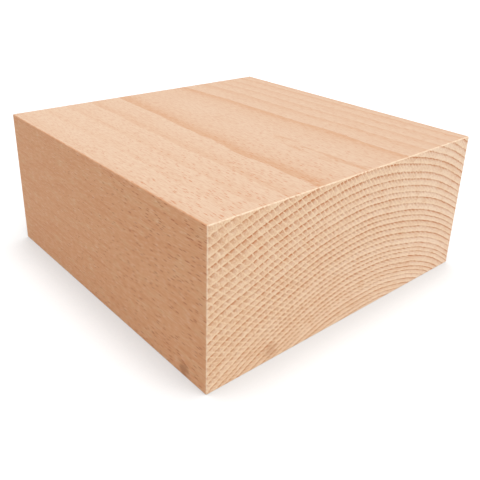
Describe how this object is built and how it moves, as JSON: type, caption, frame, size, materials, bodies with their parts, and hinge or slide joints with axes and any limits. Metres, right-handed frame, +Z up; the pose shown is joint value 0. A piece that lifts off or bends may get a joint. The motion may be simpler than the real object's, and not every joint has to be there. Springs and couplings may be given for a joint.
{
  "type": "wood turning blank",
  "caption": "Square solid wood block, planed on six sides with lightly eased edges, ready to be mounted on a lathe and turned into a bowl.",
  "frame": {"origin": "centre of the bottom face, which the block stands on", "axes": "+Z up through the thickness; the grain runs along Y, so the faces square to Y are end grain; X is across the grain"},
  "size_m": [0.15, 0.15, 0.065],
  "materials": {
    "beech": "planed bare wood"
  },
  "bodies": {
    "root": {"turning_blank": "beech"}
  },
  "joints": []
}
